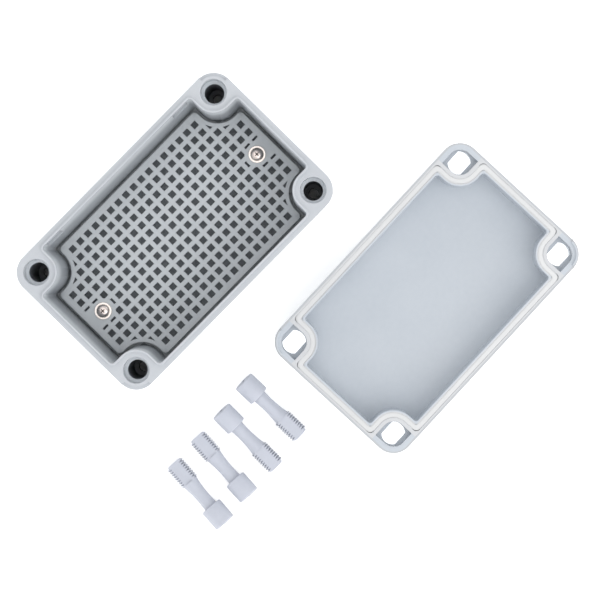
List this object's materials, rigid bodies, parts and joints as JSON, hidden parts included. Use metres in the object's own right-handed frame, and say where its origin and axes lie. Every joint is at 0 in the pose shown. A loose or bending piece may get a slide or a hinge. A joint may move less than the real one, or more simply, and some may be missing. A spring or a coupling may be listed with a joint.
{
  "type": "junction box",
  "caption": "Small sealed wall box taken apart: open base with a perforated mounting plate, gasketed cover lying inside up, and long plastic cover screws.",
  "frame": {"origin": "middle of the base's flat back face, which goes against the wall", "axes": "+X along the base's long side, +Y along its short side, +Z out of the wall, towards the open rim; everything stands or lies on Z = 0"},
  "size_m": [0.2102, 0.1835, 0.0532],
  "materials": {
    "base_abs": "light grey moulded ABS, fine spark-eroded texture",
    "plate_abs": "light grey moulded ABS, satin",
    "cover_abs": "light grey moulded ABS, fine spark-eroded texture",
    "screw_abs": "bluish light grey moulded nylon, satin",
    "gasket_foam": "off-white foamed polyurethane, matt",
    "screw_steel": "nickel-plated steel"
  },
  "bodies": {
    "root": {"base": "base_abs", "mounting_plate": "plate_abs", "plate_screw_1": "screw_steel", "plate_screw_2": "screw_steel", "cover": "cover_abs", "gasket": "gasket_foam", "cover_screw_1": "screw_abs", "cover_screw_2": "screw_abs", "cover_screw_3": "screw_abs", "cover_screw_4": "screw_abs"}
  },
  "joints": []
}
